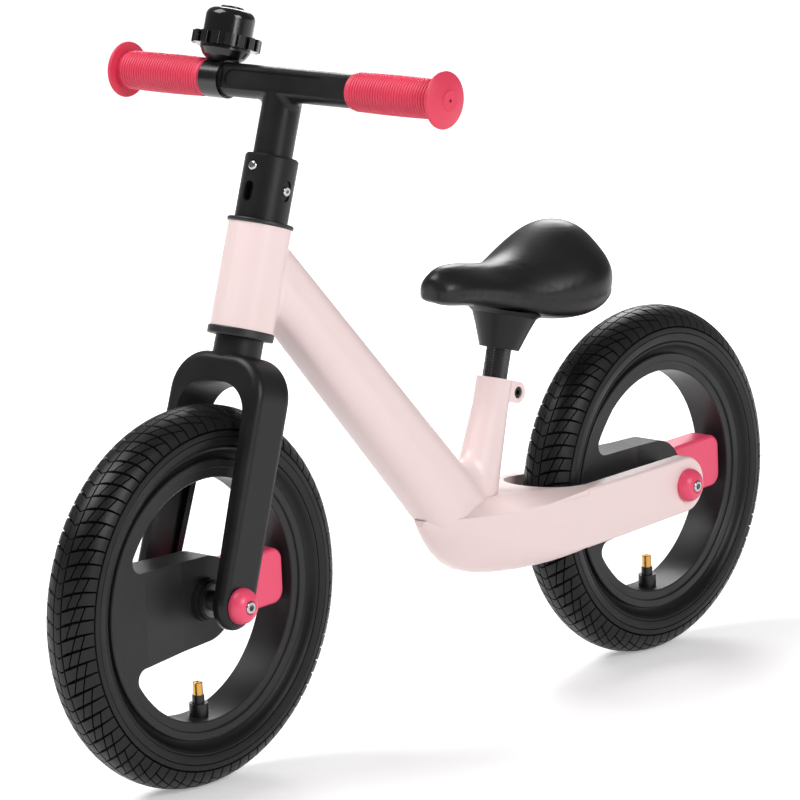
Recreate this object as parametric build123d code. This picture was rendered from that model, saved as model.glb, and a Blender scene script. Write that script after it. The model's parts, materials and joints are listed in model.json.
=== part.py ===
from build123d import *
import math
import os

# A child's balance bike, in millimetres.
# +X is forward, +Y is the rider's left, +Z is up.
# The origin is on the ground, midway between the two axles.

# %% Driving dimensions

# Wheels
WHEELBASE = 567.0
TYRE_RADIUS = 150.0
TYRE_HALF_WIDTH = 24.0
TYRE_WALL = 4.0
TUBE_WALL = 1.2
TYRE_TURN_ANGLE = 114.0
# The valley beside the rim: how far out its floor lies, and how far its arc swings each way
VALLEY_HEIGHT = 2.5
VALLEY_SWING = 2.25
RIM_INNER_RADIUS = 95.5
RIM_HALF_WIDTH = 18.5
RIM_FLANGE = 3.0
RIM_WELL_RADIUS = RIM_INNER_RADIUS + 4.0
BEAD_SEAT_RADIUS = RIM_INNER_RADIUS + 6.0
RIM_LIP_RADIUS = RIM_INNER_RADIUS + 7.5
RIM_FACE_RADIUS = BEAD_SEAT_RADIUS + 8.5
# The tyre's section fills the height from the rim to the tread: its crown, and its wall down to where it turns in
CROWN_SHARE = 0.55
TURN_SHARE = 0.55
TYRE_CROWN = CROWN_SHARE * (TYRE_RADIUS - RIM_FACE_RADIUS)
TYRE_TURN_DROP = TURN_SHARE * (TYRE_RADIUS - TYRE_CROWN - RIM_FACE_RADIUS)
TYRE_SIDE_DEPTH = -TYRE_TURN_DROP / math.cos(math.radians(TYRE_TURN_ANGLE))
RIM_STEP = 1.6
RIM_BREAK = 0.8
SPOKE_HUB_RADIUS = 34.0
SPOKE_RIM_HALF = 38.5
SPOKE_HALF_THICK = 13.6
SPOKE_CORNER = 9.0
WHEEL_TURN = 2.5
BLOCK_HALF_HEIGHT = 22.5
BLOCK_HALF_THICK = 12.0
BLOCK_CORNER = 11.0
BLOCK_RIM_GAP = 4.5
HUB_RADIUS = 17.0
HUB_NOSE_RADIUS = 15.5
HUB_HALF = 22.0
BEARING_RADIUS = 13.0
BEARING_WIDTH = 8.0
AXLE_RADIUS = 5.0
BOLT_RADIUS = 3.0
SPACER_RADIUS = 8.0
CAP_RADIUS = 14.2
CAP_HEIGHT = 11.5
CAP_SEAT = 8.9
CAP_WALL = 2.8
CAP_FOOT_CHAMFER = 0.6
BOLT_HEAD_RADIUS = 5.0
BOLT_HEAD_HEIGHT = 3.0
VALVE_BASE_RADIUS = 7.5
VALVE_STEM_RADIUS = 4.2
VALVE_TIP_RADIUS = 3.9
VALVE_BASE_HEIGHT = 10.5
VALVE_STEM_LENGTH = 17.0
VALVE_TIP_LENGTH = 10.5

# Steering, measured up the steering axis from the front axle
HEAD_LEAN = 16.7
HEAD_RADIUS = 25.0
HEAD_BOTTOM = 210.0
HEAD_TOP = 292.0
HEAD_WALL = 4.0
CUP_RADIUS = 26.2
LOWER_CUP_HEIGHT = 6.5
UPPER_CUP_HEIGHT = 3.5
CUP_DEPTH = 16.0
STEERER_RADIUS = 17.5
CROWN_BOSS_RADIUS = 19.0
FORK_TOP = 190.0
FORK_ARCH = 167.0
FORK_OUTER_FOOT = 49.5
FORK_OUTER_TOP = 47.0
FORK_INNER_FOOT = 39.0
FORK_INNER_TOP = 32.5
FORK_HALF_DEPTH = 20.0
FORK_OUTER_CORNER = 33.0
FORK_INNER_CORNER = 25.0
FORK_EDGE = 7.0
FORK_CAP_SEAT = 49.3
FORK_BOSS_FACE = 38.5
FORK_BOSS_RADIUS = 11.0
BLADE_POCKET_DEPTH = 5.0
COLLAR_RADIUS = 21.0
COLLAR_TOP = HEAD_TOP + 54.5
SNAP_HEIGHT = COLLAR_TOP - 10.5
HEIGHT_STEP = 20.0
SNAP_RADIUS = 4.0
SIDE_BOLT_HEIGHT = COLLAR_TOP - 26.0

# Handlebar
STEM_RADIUS = 15.5
STEM_WALL = 3.0
STEM_BOTTOM = COLLAR_TOP - 84.5
BAR_HEIGHT = COLLAR_TOP + 56.0
BAR_FORWARD = 4.6
BAR_RADIUS = 13.3
BAR_FLAT = 10.4
BAR_MIDDLE_HALF = 76.0
BAR_END_RADIUS = 11.0
GRIP_RADIUS = 14.9
GRIP_RIBS = 30
GRIP_RIB_HEIGHT = 0.85
GRIP_FLANGE_RADIUS = 22.2
GRIP_INNER_END = BAR_MIDDLE_HALF
GRIP_FLANGE_AT = 163.5
GRIP_FLANGE_THICK = 3.8
GRIP_DOME = 4.0
RECESS_LENGTH = 102.0
RECESS_HEIGHT = 14.0
RECESS_DEPTH = 1.2
STEM_BLEND = 7.0

# Bell, measured up its own axis from the bar's centre line
BELL_AT = -65.0
BELL_BAND_WIDTH = 19.0
BELL_MARGIN = 1.5
BELL_BAND_WALL = 2.0
BELL_BASE_RADIUS = 20.0
BELL_GONG_RADIUS = 19.7
BELL_RING_RADIUS = 27.4
BELL_RING_TEETH = 16
BELL_TOP = 57.0

# Frame
DOWN_TOP_DEPTH = 49.0
DOWN_FOOT_DEPTH = 61.0
DOWN_TOP_WIDTH = 42.0
DOWN_FOOT_WIDTH = 44.0
DOWN_OVERRUN = 40.0
DOWN_SQUARENESS = 2.6
DOWN_WALL = 4.5
DOWN_TOP_AT = 267.0
DOWN_FOOT_X = -5.0
DOWN_FOOT_Z = 188.6
STAY_OUTER = 46.5
STAY_THICK = 13.0
STAY_END_RADIUS = 23.8
STAY_TOP = 169.0
STAY_LOW = 118.5
STAY_BEND_X = -190.0
STAY_BEND_Z = 120.5
SLOT_FRONT = -113.0
HULL_TOP = 163.5
HULL_END = -150.0
SEAT_LEAN = 14.5
SEAT_TOP_X = -83.4
SEAT_TOP_Z = 267.5
SEAT_TUBE_RADIUS = 15.0
SEAT_BORE_DEPTH = 118.0
FLARE_START = 24.0
FLARE_X = -45.0
FLARE_DEPTH = 25.0
FLARE_HALF_LENGTH = 24.0
FLARE_HALF_WIDTH = 20.0
CROTCH_RADIUS = 14.0
HEAD_BLEND = 4.0
STAY_EDGE = 2.5
POST_RADIUS = 10.5
POST_WALL = 2.0
POST_INSERT = 95.0
NECK_AT = 24.5
NECK_HEIGHT = 31.0
NECK_FOOT_RADIUS = 16.5
NECK_TOP_RADIUS = 22.5
NECK_FLARE_RADIUS = 31.0
NECK_FLARE_HEIGHT = 14.0
POST_SCREW_RADIUS = 2.0
POST_SCREW_AT = 9.0
PLATE_X = -124.0
PLATE_Z = 319.0
PLATE_LENGTH = 84.0
PLATE_WIDTH = 56.0
PLATE_THICK = 6.0
LUG_BACK = 23.0
LUG_DROP = 9.0
LUG_RADIUS = 9.0
LUG_HALF = 9.0

# Clearances
RUN = 0.05
FREE = 0.4

# %% Shared frames

FRONT_AXLE = Vector(WHEELBASE / 2, 0, TYRE_RADIUS)
REAR_AXLE = Vector(-WHEELBASE / 2, 0, TYRE_RADIUS)
lean = math.radians(HEAD_LEAN)
seat_lean = math.radians(SEAT_LEAN)
turn = math.radians(WHEEL_TURN)
HEAD_UP = Vector(-math.sin(lean), 0, math.cos(lean))
HEAD_FORWARD = Vector(math.cos(lean), 0, math.sin(lean))
LEFT = Vector(0, 1, 0)
SEAT_UP = Vector(-math.sin(seat_lean), 0, math.cos(seat_lean))
SEAT_FORWARD = Vector(math.cos(seat_lean), 0, math.sin(seat_lean))
SEAT_TOP = Vector(SEAT_TOP_X, 0, SEAT_TOP_Z)

# In the steering frame x is forward, y is left and z is up the steering axis.
STEER = Plane(origin=FRONT_AXLE, x_dir=HEAD_FORWARD, z_dir=HEAD_UP)
# The face-on view of the fork: x is left, y is up the steering axis.
FORK_FACE = Plane(origin=FRONT_AXLE, x_dir=LEFT, z_dir=HEAD_FORWARD)
SEAT = Plane(origin=SEAT_TOP, x_dir=SEAT_FORWARD, z_dir=SEAT_UP)
BAR_CENTRE = FRONT_AXLE + HEAD_UP * BAR_HEIGHT + HEAD_FORWARD * BAR_FORWARD
BELL = Plane(origin=BAR_CENTRE + LEFT * BELL_AT, x_dir=HEAD_FORWARD, z_dir=HEAD_UP)
BAR_AXIS = Plane(origin=BAR_CENTRE, x_dir=HEAD_FORWARD, z_dir=LEFT)
BAR_AXIS_RIGHT = Plane(origin=BAR_CENTRE, x_dir=HEAD_FORWARD, z_dir=-LEFT)
SIDE = Plane(origin=(0, 0, 0), x_dir=(1, 0, 0), z_dir=(0, -1, 0))


def wheel_frame(axle):
    """The wheel's own frame: x along its spoke, y towards its valve, z to the rider's left."""
    return Plane(origin=axle, x_dir=(math.cos(turn), 0, -math.sin(turn)), z_dir=LEFT)


def ring(outer, inner, low, high):
    """A plain ring on the Z axis between two heights."""
    body = Cylinder(outer, high - low) - Cylinder(inner, high - low)
    return Pos(0, 0, (low + high) / 2) * body


def rod(radius, low, high):
    """A plain rod on the Z axis between two heights."""
    return Pos(0, 0, (low + high) / 2) * Cylinder(radius, high - low)


def turned(points):
    """A solid of revolution on the Z axis from straight points (radius, height)."""
    outline = [(radius, 0, height) for radius, height in points]
    return revolve(make_face(Polyline(*outline, close=True)), Axis.Z, 360)


def one(shape):
    """The same shape as one bare solid."""
    return shape.solids()[0]


def group(*shapes):
    """Several separate solids in one node."""
    solids = [solid for shape in shapes for solid in shape.solids()]
    return Compound(children=solids)


def blended(first, second, radius, above):
    """Two bodies joined, with a fillet along the seams that lie above a height."""
    joined = one(first + second)
    seams = [edge for edge in new_edges(first, second, combined=joined) if edge.center().Z > above]
    return one(fillet(seams, radius))


def socket_bolt(head_radius, head_height, shank_radius, shank_length, key):
    """A socket bolt: its head stands on z = 0 and its shank runs down."""
    head = fillet(rod(head_radius, 0, head_height).edges().group_by(Axis.Z)[-1], head_height * 0.4)
    shank = rod(shank_radius, -shank_length, 0)
    key_hole = extrude(Pos(0, 0, head_height) * RegularPolygon(key / math.sqrt(3), 6), -head_height * 0.7)
    return head + shank - key_hole


# %% Wheel: casting, accent block, tyre, inner tube, valve and bearings, in the wheel's frame


def wheel_casting():
    seat_edge = RIM_HALF_WIDTH - RIM_FLANGE
    web_face = RIM_HALF_WIDTH - RIM_STEP
    well_half = 7.0
    well_edge = well_half + 2.0
    half = [
        (RIM_INNER_RADIUS, web_face - RIM_BREAK),
        (RIM_INNER_RADIUS + RIM_BREAK, web_face),
        (RIM_LIP_RADIUS, web_face),
        (RIM_LIP_RADIUS, RIM_HALF_WIDTH - RIM_BREAK),
        (RIM_LIP_RADIUS + RIM_BREAK, RIM_HALF_WIDTH),
        (RIM_FACE_RADIUS - RIM_BREAK, RIM_HALF_WIDTH),
        (RIM_FACE_RADIUS, RIM_HALF_WIDTH - RIM_BREAK),
        (RIM_FACE_RADIUS, seat_edge),
        (BEAD_SEAT_RADIUS, seat_edge),
        (BEAD_SEAT_RADIUS, well_edge),
        (RIM_WELL_RADIUS, well_half),
    ]
    other_half = [(radius, -height) for radius, height in reversed(half)]
    rim = turned(half + other_half)

    # The fan spoke: its plan, with rounded corners where it meets the rim
    reach = RIM_INNER_RADIUS + 2.0
    tangent = math.asin((SPOKE_RIM_HALF - SPOKE_HUB_RADIUS) / reach)
    hub_x = -SPOKE_HUB_RADIUS * math.sin(tangent)
    hub_y = SPOKE_HUB_RADIUS * math.cos(tangent)
    fan = make_face(Polyline((hub_x, hub_y), (reach, SPOKE_RIM_HALF), (reach, -SPOKE_RIM_HALF),
                             (hub_x, -hub_y), close=True))
    fan = fan + Circle(SPOKE_HUB_RADIUS)
    window = Circle(RIM_INNER_RADIUS) - fan
    corners = window.vertices().group_by(Axis.X)[-1]
    window = fillet(corners, SPOKE_CORNER)
    plan = Circle(reach) - window
    slab = extrude(plan, web_face, both=True)

    # The spoke is thinner at the hub and flush with the rim's inner faces at the rim
    thin_until = 26.0
    flush_from = 70.0
    far = reach + 5
    side = Plane.XZ * make_face(Polyline(
        (-far, -SPOKE_HALF_THICK), (thin_until, -SPOKE_HALF_THICK), (flush_from, -web_face),
        (far, -web_face), (far, web_face), (flush_from, web_face),
        (thin_until, SPOKE_HALF_THICK), (-far, SPOKE_HALF_THICK), close=True))
    slab = slab & extrude(side, far, both=True)

    hub = rod(HUB_RADIUS, -HUB_HALF + 4, HUB_HALF - 4) + rod(HUB_NOSE_RADIUS, -HUB_HALF, HUB_HALF)
    body = rim + slab + hub
    body = body - rod(AXLE_RADIUS + 1.5, -HUB_HALF, HUB_HALF)
    body = body - rod(BEARING_RADIUS, HUB_HALF - BEARING_WIDTH, HUB_HALF)
    body = body - rod(BEARING_RADIUS, -HUB_HALF, -HUB_HALF + BEARING_WIDTH)
    valve_hole = Rot(-90, 0, 0) * rod(VALVE_STEM_RADIUS, RIM_INNER_RADIUS - 1, BEAD_SEAT_RADIUS + 2)
    return one(body - valve_hole)


def accent_block():
    start = -SPOKE_HUB_RADIUS
    end = -RIM_INNER_RADIUS + BLOCK_RIM_GAP
    length = start - end + BLOCK_CORNER
    plan = Pos(end + length / 2, 0) * RectangleRounded(length, 2 * BLOCK_HALF_HEIGHT, BLOCK_CORNER)
    body = extrude(plan, BLOCK_HALF_THICK, both=True)
    body = fillet(body.edges().group_by(Axis.Z)[-1] + body.edges().group_by(Axis.Z)[0], 3.0)
    return one(body - Cylinder(SPOKE_HUB_RADIUS, 4 * BLOCK_HALF_THICK))


def tyre_outline(offset, bead):
    """The closed outline of the tyre's section, drawn in by an offset from its outside."""
    middle = TYRE_RADIUS - TYRE_CROWN
    # The sidewall is an ellipse to where it turns in, and leaves a valley beside the rim
    points = 12
    crown = []
    for step in range(points + 1):
        angle = math.radians(TYRE_TURN_ANGLE * (1 - 2 * step / points))
        height = TYRE_CROWN if math.cos(angle) > 0 else TYRE_SIDE_DEPTH
        radius = middle + (height - offset) * math.cos(angle)
        crown.append((radius, 0, (TYRE_HALF_WIDTH - offset) * math.sin(angle)))
    foot = RIM_HALF_WIDTH - RIM_FLANGE - offset
    valley = RIM_FACE_RADIUS + VALLEY_HEIGHT + offset / 2
    swing = valley + VALLEY_SWING
    left_turn = ThreePointArc(crown[0], (swing, 0, foot + VALLEY_SWING), (valley, 0, foot))
    right_turn = ThreePointArc(crown[-1], (swing, 0, -foot - VALLEY_SWING), (valley, 0, -foot))
    beads = Polyline((valley, 0, -foot), (bead, 0, -foot), (bead, 0, foot), (valley, 0, foot))
    return [Spline(*crown), right_turn, beads, left_turn]


def tyre_and_tube():
    outside = make_face(tyre_outline(0, BEAD_SEAT_RADIUS))
    inside = make_face(tyre_outline(TYRE_WALL, BEAD_SEAT_RADIUS - 1))
    hollow = make_face(tyre_outline(TYRE_WALL + TUBE_WALL, BEAD_SEAT_RADIUS + TUBE_WALL))
    tyre = revolve(outside - inside, Axis.Z, 360)
    above_seat = ring(TYRE_RADIUS, BEAD_SEAT_RADIUS, -TYRE_HALF_WIDTH, TYRE_HALF_WIDTH)
    tube = (revolve(inside, Axis.Z, 360) & above_seat) - revolve(hollow, Axis.Z, 360)
    return one(tyre), one(tube)


def valve_stem():
    foot = RIM_INNER_RADIUS
    body = rod(VALVE_BASE_RADIUS, foot - VALVE_BASE_HEIGHT, foot)
    body = body + rod(VALVE_STEM_RADIUS + 0.6, foot - VALVE_STEM_LENGTH, foot)
    body = body + rod(VALVE_STEM_RADIUS, foot, BEAD_SEAT_RADIUS)
    curved = Rot(90, 0, 0) * Cylinder(RIM_INNER_RADIUS, 4 * VALVE_BASE_RADIUS)
    neck = rod(VALVE_STEM_RADIUS, foot - 2, BEAD_SEAT_RADIUS)
    body = (body & curved) + neck
    inside_seat = Rot(90, 0, 0) * Cylinder(BEAD_SEAT_RADIUS, 4 * VALVE_BASE_RADIUS)
    return Rot(-90, 0, 0) * one(body & inside_seat)


def valve_tip():
    base = RIM_INNER_RADIUS - VALVE_STEM_LENGTH
    end = base - VALVE_TIP_LENGTH
    body = rod(VALVE_TIP_RADIUS, end, base)
    body = chamfer(body.edges().group_by(Axis.Z)[0], 0.6)
    air_hole = rod(1.2, end, end + 3.0)
    return Rot(-90, 0, 0) * one(body - air_hole)


def bearing(low):
    body = ring(BEARING_RADIUS, AXLE_RADIUS + RUN, low, low + BEARING_WIDTH)
    groove = ring(BEARING_RADIUS - 2.2, AXLE_RADIUS + 2.2, low - 0.01, low + 0.6)
    high = low + BEARING_WIDTH
    other = ring(BEARING_RADIUS - 2.2, AXLE_RADIUS + 2.2, high - 0.6, high + 0.01)
    return body - groove - other


def axle_cap():
    """A domed cap on z = 0, with a flat seat for the bolt's head."""
    lip = BOLT_HEAD_RADIUS + 1.2
    pocket = BOLT_HEAD_RADIUS + 0.3
    wall_top = (CAP_RADIUS, 0, CAP_WALL)
    lip_top = (lip, 0, CAP_HEIGHT)
    dome_arc = ThreePointArc(wall_top, (CAP_RADIUS * 0.80, 0, CAP_HEIGHT * 0.74), lip_top)
    rest = Polyline(lip_top, (pocket, 0, CAP_HEIGHT - 0.6), (pocket, 0, CAP_SEAT),
                    (BOLT_RADIUS, 0, CAP_SEAT), (BOLT_RADIUS, 0, 0), (CAP_RADIUS - CAP_FOOT_CHAMFER, 0, 0),
                    (CAP_RADIUS, 0, CAP_FOOT_CHAMFER), wall_top)
    return revolve(make_face([dome_arc, rest]), Axis.Z, 360)


def axle_set(axle, outer, inner):
    """The axle, spacers, caps and bolts between two carriers with these half widths."""
    left = Plane(origin=axle, x_dir=(1, 0, 0), z_dir=LEFT)
    right = Plane(origin=axle, x_dir=(1, 0, 0), z_dir=-LEFT)
    grip = outer - inner + CAP_SEAT
    thread = 14.0
    shaft = rod(AXLE_RADIUS, -inner, inner)
    shaft = shaft - rod(BOLT_RADIUS, inner - thread, inner) - rod(BOLT_RADIUS, -inner, -inner + thread)
    spacer = ring(SPACER_RADIUS, AXLE_RADIUS, HUB_HALF + FREE, inner)
    bolt = Pos(0, 0, outer + CAP_SEAT) * socket_bolt(BOLT_HEAD_RADIUS, BOLT_HEAD_HEIGHT, BOLT_RADIUS,
                                                     grip + thread - 1, 5.0)
    cap = Pos(0, 0, outer) * axle_cap()
    return (one(left * shaft), group(left * spacer, right * spacer), group(left * cap, right * cap),
            group(left * bolt, right * bolt))


# %% Fork, collar and their small parts


def fork():
    foot = -FORK_HALF_DEPTH - 5
    rise = FORK_TOP

    def half_width(foot_value, top_value, height):
        return foot_value + (top_value - foot_value) * height / rise

    def arch(foot_value, top_value, top, corner, low):
        wide = half_width(foot_value, top_value, low)
        narrow = half_width(foot_value, top_value, top)
        shape = make_face(Polyline((wide, low), (narrow, top), (-narrow, top), (-wide, low), close=True))
        return fillet(shape.vertices().group_by(Axis.Y)[-1], corner)

    outer = arch(FORK_OUTER_FOOT, FORK_OUTER_TOP, FORK_TOP, FORK_OUTER_CORNER, foot)
    inner = arch(FORK_INNER_FOOT, FORK_INNER_TOP, FORK_ARCH, FORK_INNER_CORNER, foot - 1)
    block = FORK_FACE * extrude(outer, FORK_HALF_DEPTH + 1, both=True)
    blade_side = Pos(0, FORK_TOP / 2 + 1) * Rectangle(2 * FORK_HALF_DEPTH, FORK_TOP + 2)
    blade_side = blade_side + Circle(FORK_HALF_DEPTH)
    across = Plane(origin=FRONT_AXLE, x_dir=HEAD_FORWARD, z_dir=-LEFT)
    block = block & (across * extrude(blade_side, FORK_OUTER_FOOT + 10, both=True))
    sharp = [edge for edge in block.edges() if abs(edge.tangent_at(0.5).Y) < 0.999
             or STEER.to_local_coords(edge.center()).Z > FORK_TOP / 2]
    block = fillet(sharp, FORK_EDGE)
    body = block - FORK_FACE * extrude(inner, FORK_HALF_DEPTH + 10, both=True)

    # Each blade is hollowed from the inside between a front and a rear flange
    pocket_half = FORK_HALF_DEPTH - 6.0
    pocket_low = 26.0
    pocket_high = FORK_ARCH - FORK_INNER_CORNER
    pocket_middle = (pocket_low + pocket_high) / 2
    reach = half_width(FORK_INNER_FOOT, FORK_INNER_TOP, pocket_middle) + BLADE_POCKET_DEPTH
    pocket = Box(2 * pocket_half, 2 * reach, pocket_high - pocket_low)
    body = body - STEER * Pos(0, 0, pocket_middle) * pocket

    steerer_top = COLLAR_TOP - 3.0
    bore_floor = STEM_BOTTOM - HEIGHT_STEP - 8.0
    column = rod(CROWN_BOSS_RADIUS, FORK_TOP - 12, HEAD_BOTTOM - LOWER_CUP_HEIGHT - FREE)
    column = column + rod(STEERER_RADIUS, FORK_TOP - 12, steerer_top)
    column = column - rod(STEM_RADIUS + RUN, bore_floor, steerer_top)
    body = body + STEER * column
    body = body - STEER * snap_cuts() - STEER * side_bolt_hole(BOLT_RADIUS - 0.5)

    # Flat seats for the axle's caps outside and its spacers inside
    for side in (LEFT, -LEFT):
        foot_frame = Plane(origin=FRONT_AXLE, x_dir=(1, 0, 0), z_dir=side)
        body = body + foot_frame * rod(FORK_BOSS_RADIUS, FORK_BOSS_FACE, FORK_CAP_SEAT - 3)
        body = body - foot_frame * rod(CAP_RADIUS + FREE, FORK_CAP_SEAT, FORK_CAP_SEAT + 10)
        body = body - foot_frame * rod(BOLT_RADIUS, 0, FORK_CAP_SEAT + 10)
    return one(body)


def snap_cuts():
    """The round hole and the oblong slot that take the snap button, in the steering frame."""
    reach = COLLAR_RADIUS + 5
    gap = SNAP_RADIUS + FREE
    upper = Rot(0, 90, 0) * rod(gap, 0, reach)
    lower = Pos(0, 0, -HEIGHT_STEP) * upper
    slot_half = 3.5
    box = Pos(reach / 2, 0, -HEIGHT_STEP) * Box(reach, 2 * gap, 2 * slot_half)
    ends = [Pos(0, 0, offset) * lower for offset in (-slot_half, slot_half)]
    return Pos(0, 0, SNAP_HEIGHT) * (upper + box + ends[0] + ends[1])


def side_bolt_hole(radius):
    return Pos(0, 0, SIDE_BOLT_HEIGHT) * Rot(-90, 0, 0) * rod(radius, STEM_RADIUS, COLLAR_RADIUS + 5)


SIDE_SLOT_FLOOR = 19.4


def collar():
    low = HEAD_TOP + UPPER_CUP_HEIGHT + FREE
    body = rod(COLLAR_RADIUS, low, COLLAR_TOP)
    body = chamfer(body.edges().group_by(Axis.Z)[-1], 1.6)
    body = body - rod(STEERER_RADIUS, low, COLLAR_TOP - 3.0)
    body = body - rod(STEM_RADIUS + FREE, low, COLLAR_TOP)
    slot_half = 4.0
    slot_radius = 4.2
    slot = Pos(0, SIDE_SLOT_FLOOR + 5, 0) * Box(2 * slot_radius, 10, 2 * slot_half)
    slot_end = Rot(-90, 0, 0) * rod(slot_radius, SIDE_SLOT_FLOOR, SIDE_SLOT_FLOOR + 10)
    for offset in (-slot_half, slot_half):
        slot = slot + Pos(0, 0, offset) * slot_end
    body = body - Pos(0, 0, SIDE_BOLT_HEIGHT) * slot
    body = body - snap_cuts() - side_bolt_hole(BOLT_RADIUS - 0.5)
    return one(STEER * body)


def collar_bolt():
    shank = SIDE_SLOT_FLOOR - STEM_RADIUS - FREE
    bolt = socket_bolt(3.8, 2.4, BOLT_RADIUS - 0.5, shank, 3.0)
    return one(STEER * Pos(0, SIDE_SLOT_FLOOR, SIDE_BOLT_HEIGHT) * Rot(-90, 0, 0) * bolt)


def headset_cup(low, high, flange_low, flange_high):
    """A bush pressed into the head tube, with a lip outside it."""
    bore = STEERER_RADIUS + RUN
    body = ring(HEAD_RADIUS - HEAD_WALL, bore, low, high)
    lip = ring(CUP_RADIUS, bore, flange_low, flange_high)
    rims = [edge for edge in lip.edges().filter_by(GeomType.CIRCLE) if edge.radius > HEAD_RADIUS]
    lip = fillet(rims, 1.2)
    return one(STEER * (body + lip))


# %% Handlebar, grips and snap button


def handlebar():
    bar = rod(BAR_RADIUS, -BAR_MIDDLE_HALF, BAR_MIDDLE_HALF)
    ends = rod(BAR_END_RADIUS, -GRIP_FLANGE_AT, GRIP_FLANGE_AT)
    wide = 2 * BAR_RADIUS
    # The flat front starts beside the bell, whose band sits on the round bar
    flat_start = BELL_AT + BELL_BAND_WIDTH / 2 + BELL_MARGIN
    flat_length = BAR_MIDDLE_HALF - flat_start
    flat = Pos(BAR_FLAT + wide / 2, 0, flat_start + flat_length / 2) * Box(wide, wide, flat_length)
    recess = Plane(origin=(BAR_FLAT - RECESS_DEPTH, 0, 0), x_dir=(0, 0, 1), z_dir=(1, 0, 0))
    recess = recess * extrude(SlotOverall(RECESS_LENGTH, RECESS_HEIGHT), 10)
    stem = STEER * rod(STEM_RADIUS, STEM_BOTTOM, BAR_HEIGHT)
    body = blended(one(BAR_AXIS * bar), one(stem), STEM_BLEND, 0)
    body = body + BAR_AXIS * ends - BAR_AXIS * flat
    flat_front = BAR_AXIS * Pos(BAR_FLAT + wide / 2, 0, 0) * Box(wide, wide, wide)
    body = body - flat_front - BAR_AXIS * recess
    body = body - STEER * rod(STEM_RADIUS - STEM_WALL, STEM_BOTTOM, BAR_HEIGHT - 16)
    hole = Pos(0, 0, SNAP_HEIGHT) * Rot(0, 90, 0) * rod(SNAP_RADIUS + RUN, 0, STEM_RADIUS + 2)
    body = body - STEER * hole
    return one(body)


def grip():
    """One grip along z, with ribs, an end flange and a domed end with a small hole."""
    start = GRIP_INNER_END
    plain = 4.0
    first = start + plain
    last = GRIP_FLANGE_AT - plain
    pitch = (last - first) / GRIP_RIBS

    def skin(height):
        """The barrel-shaped radius of the grip at a height."""
        middle = (first + last) / 2
        return GRIP_RADIUS - 0.5 * ((height - middle) / (middle - first)) ** 2

    neck = skin(first)
    lines = [Polyline((BAR_END_RADIUS, 0, GRIP_FLANGE_AT), (BAR_END_RADIUS, 0, start),
                      (GRIP_RADIUS - 1.5, 0, start), (neck, 0, start + 1.5), (neck, 0, first))]
    for index in range(GRIP_RIBS):
        low = first + index * pitch
        middle = low + pitch / 2
        high = low + pitch
        crest = skin(middle) + GRIP_RIB_HEIGHT
        lines.append(ThreePointArc((skin(low), 0, low), (crest, 0, middle), (skin(high), 0, high)))
    outer = GRIP_FLANGE_AT + GRIP_FLANGE_THICK
    tip = outer + GRIP_DOME
    boss = 8.5
    lines.append(Polyline((skin(last), 0, last), (skin(last), 0, GRIP_FLANGE_AT),
                          (GRIP_FLANGE_RADIUS - 1, 0, GRIP_FLANGE_AT)))
    lines.append(ThreePointArc((GRIP_FLANGE_RADIUS - 1, 0, GRIP_FLANGE_AT),
                               (GRIP_FLANGE_RADIUS, 0, GRIP_FLANGE_AT + 1.4),
                               (GRIP_FLANGE_RADIUS - 1.2, 0, outer - 0.8)))
    lines.append(ThreePointArc((GRIP_FLANGE_RADIUS - 1.2, 0, outer - 0.8), (15.5, 0, outer + 1.2),
                               (boss, 0, tip - 1.2)))
    vent = 1.4
    lines.append(Polyline((boss, 0, tip - 1.2), (boss - 0.8, 0, tip), (vent, 0, tip),
                          (vent, 0, GRIP_FLANGE_AT), (BAR_END_RADIUS, 0, GRIP_FLANGE_AT)))
    return one(revolve(make_face(lines), Axis.Z, 360))


def snap_button():
    flange_top = 11.0
    flange_low = 9.4
    tip = COLLAR_RADIUS + 1.3
    body = rod(SNAP_RADIUS, flange_low, tip)
    body = fillet(body.edges().group_by(Axis.Z)[-1], 2.2)
    body = body + rod(SNAP_RADIUS + 1.1, flange_low, flange_top)
    return one(STEER * Pos(0, 0, SNAP_HEIGHT) * Rot(0, 90, 0) * body)


def snap_spring():
    """A flat leaf spring against the button's flange, inside the stem."""
    thick = 0.8
    length = 42.0
    strip = Pos(9.4 - thick / 2, 0, SNAP_HEIGHT - length / 2 + 5) * Box(thick, 8.0, length)
    return one(STEER * strip)


# %% Bell


def bell_band():
    outer = BAR_RADIUS + BELL_BAND_WALL
    half = BELL_BAND_WIDTH / 2
    body = ring(outer, BAR_RADIUS, -half, half)
    lug = Pos(-outer - 2, 0, 0) * Box(9, 9, 2 * half - 6)
    body = body + (lug - Cylinder(BAR_RADIUS, 60))
    body = body - Pos(-outer, 0, 0) * Box(14, 1.6, 60)
    screw_hole = Pos(-outer - 3, 0, 0) * Rot(90, 0, 0) * Cylinder(1.6, 30)
    frame = Plane(origin=BELL.origin, x_dir=HEAD_FORWARD, z_dir=LEFT)
    return one(frame * (body - screw_hole))


def bell_band_screw():
    outer = BAR_RADIUS + BELL_BAND_WALL
    screw = socket_bolt(2.8, 1.8, 1.6, 9.0, 2.5)
    frame = Plane(origin=BELL.origin, x_dir=HEAD_FORWARD, z_dir=LEFT)
    return one(frame * Pos(-outer - 3, -4.5, 0) * Rot(90, 0, 0) * screw)


BELL_FLOOR = 18.0
BELL_RIM = 24.0
BELL_RING_LOW = BELL_RIM + FREE
BELL_RING_HIGH = 34.0
BELL_STUD_RADIUS = 3.0
GONG_LOW = BELL_RING_HIGH - 1.0
GONG_WALL = 1.2


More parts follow.
